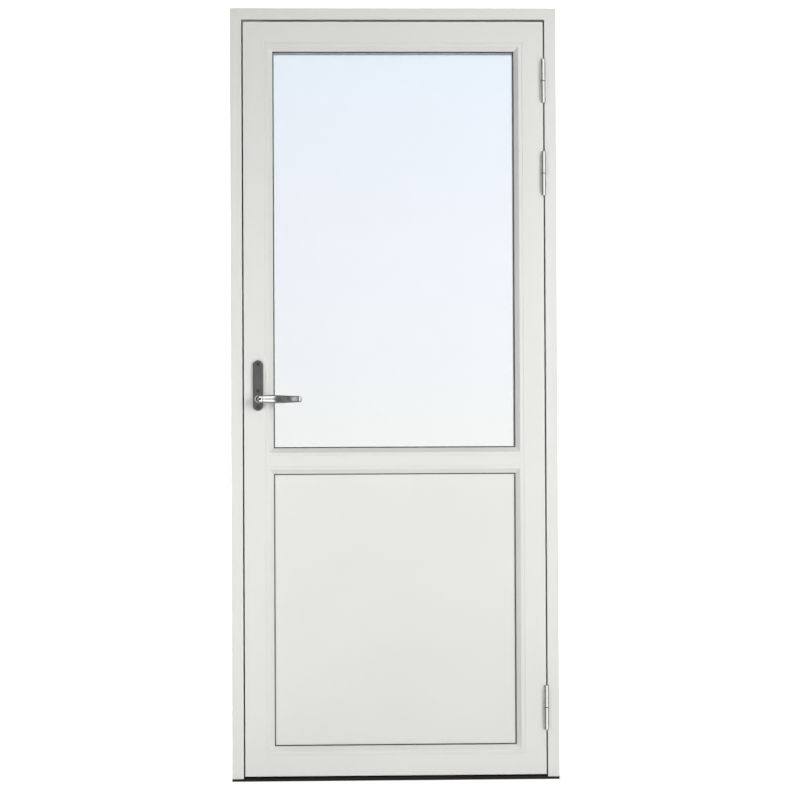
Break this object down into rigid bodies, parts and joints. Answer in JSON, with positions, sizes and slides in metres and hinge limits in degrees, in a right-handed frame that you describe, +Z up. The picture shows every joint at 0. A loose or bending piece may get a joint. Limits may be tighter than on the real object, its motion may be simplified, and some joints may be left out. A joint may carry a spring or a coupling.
{
  "type": "glass door",
  "caption": "Glazed terrace door in its frame: clad timber leaf with a tall pane over a flush panel, lift-off hinges, lever handle and edge bolts.",
  "frame": {"origin": "underside of the threshold, at mid width and mid depth of the frame", "axes": "+Z up, +X towards the hinges, -Y towards the outside, where the leaf opens"},
  "size_m": [0.88, 0.1792, 2.08],
  "materials": {
    "white_cladding": "matt white powder coat",
    "white_timber": "white painted pine",
    "dark_sill": "dark stained hardwood",
    "seal_rubber": "matt",
    "polished_steel": "polished, satin lines",
    "satin_plate": "dark satin",
    "zinc_steel": "zinc plated",
    "clear_glass": "clear, coated",
    "spacer_grey": "matt",
    "panel_foam": "foam core",
    "nylon": "matt"
  },
  "bodies": {
    "frame": {"threshold": "dark_sill", "lock_jamb": "white_timber", "hinge_jamb": "white_timber", "frame_head": "white_timber", "lock_jamb_cladding": "white_cladding", "hinge_jamb_cladding": "white_cladding", "head_cladding": "white_cladding", "frame_seal": "seal_rubber", "keeps": "zinc_steel", "frame_screws": "zinc_steel", "upper_frame_hinge": "polished_steel", "middle_frame_hinge": "polished_steel", "lower_frame_hinge": "polished_steel", "hinge_pins": "zinc_steel", "hinge_washers": "nylon"},
    "leaf": {"lock_stile": "white_timber", "hinge_stile": "white_timber", "top_rail": "white_timber", "middle_rail": "white_timber", "bottom_rail": "white_timber", "lock_stile_cladding": "white_cladding", "hinge_stile_cladding": "white_cladding", "top_rail_cladding": "white_cladding", "middle_rail_cladding": "white_cladding", "bottom_rail_cladding": "white_cladding", "glass_bead_left": "white_cladding", "glass_bead_right": "white_cladding", "glass_bead_top": "white_cladding", "glass_bead_bottom": "white_cladding", "panel_bead_left": "white_cladding", "panel_bead_right": "white_cladding", "panel_bead_top": "white_cladding", "panel_bead_bottom": "white_cladding", "panel_front_skin": "white_cladding", "panel_back_skin": "white_cladding", "glazing_gaskets": "seal_rubber", "leaf_screws": "zinc_steel", "faceplate": "zinc_steel", "lock_case": "zinc_steel", "bolt_cases": "zinc_steel", "upper_leaf_hinge": "polished_steel", "middle_leaf_hinge": "polished_steel", "lower_leaf_hinge": "polished_steel", "plate_screws": "polished_steel", "outer_plate": "satin_plate", "inner_plate": "satin_plate", "outer_pane": "clear_glass", "middle_pane": "clear_glass", "inner_pane": "clear_glass", "glass_spacers": "spacer_grey", "setting_blocks": "nylon", "panel_core": "panel_foam"},
    "handle": {"outer_lever": "polished_steel", "inner_lever": "polished_steel", "spindle": "zinc_steel", "pinion": "zinc_steel"},
    "drive_rod": {"drive_rod": "zinc_steel"},
    "upper_bolt": {"upper_bolt": "zinc_steel"},
    "middle_bolt": {"middle_bolt": "zinc_steel"},
    "lower_bolt": {"lower_bolt": "zinc_steel"}
  },
  "joints": [
    {"name": "leaf_swing", "type": "hinge", "parent": "frame", "child": "leaf", "pos_m": [0.404, -0.0655, 1.028], "axis": [0, 0, 1], "range_deg": [0, 165]},
    {"name": "handle_turn", "type": "hinge", "parent": "leaf", "child": "handle", "pos_m": [-0.367, -0.015, 1.026], "axis": [0, 1, 0], "range_deg": [0, 90]},
    {"name": "rod_slide", "type": "slide", "parent": "leaf", "child": "drive_rod", "axis": [0, 0, 1], "range_m": [0, 0.01886]},
    {"name": "upper_bolt_slide", "type": "slide", "parent": "leaf", "child": "upper_bolt", "axis": [-1, 0, 0], "range_m": [0, 0.01886]},
    {"name": "middle_bolt_slide", "type": "slide", "parent": "leaf", "child": "middle_bolt", "axis": [-1, 0, 0], "range_m": [0, 0.01886]},
    {"name": "lower_bolt_slide", "type": "slide", "parent": "leaf", "child": "lower_bolt", "axis": [-1, 0, 0], "range_m": [0, 0.01886]}
  ],
  "couplings": [
    {"joint": "rod_slide", "follows": "handle_turn", "m_per_rad": 0.012},
    {"joint": "upper_bolt_slide", "follows": "handle_turn", "m_per_rad": 0.012},
    {"joint": "middle_bolt_slide", "follows": "handle_turn", "m_per_rad": 0.012},
    {"joint": "lower_bolt_slide", "follows": "handle_turn", "m_per_rad": 0.012}
  ]
}
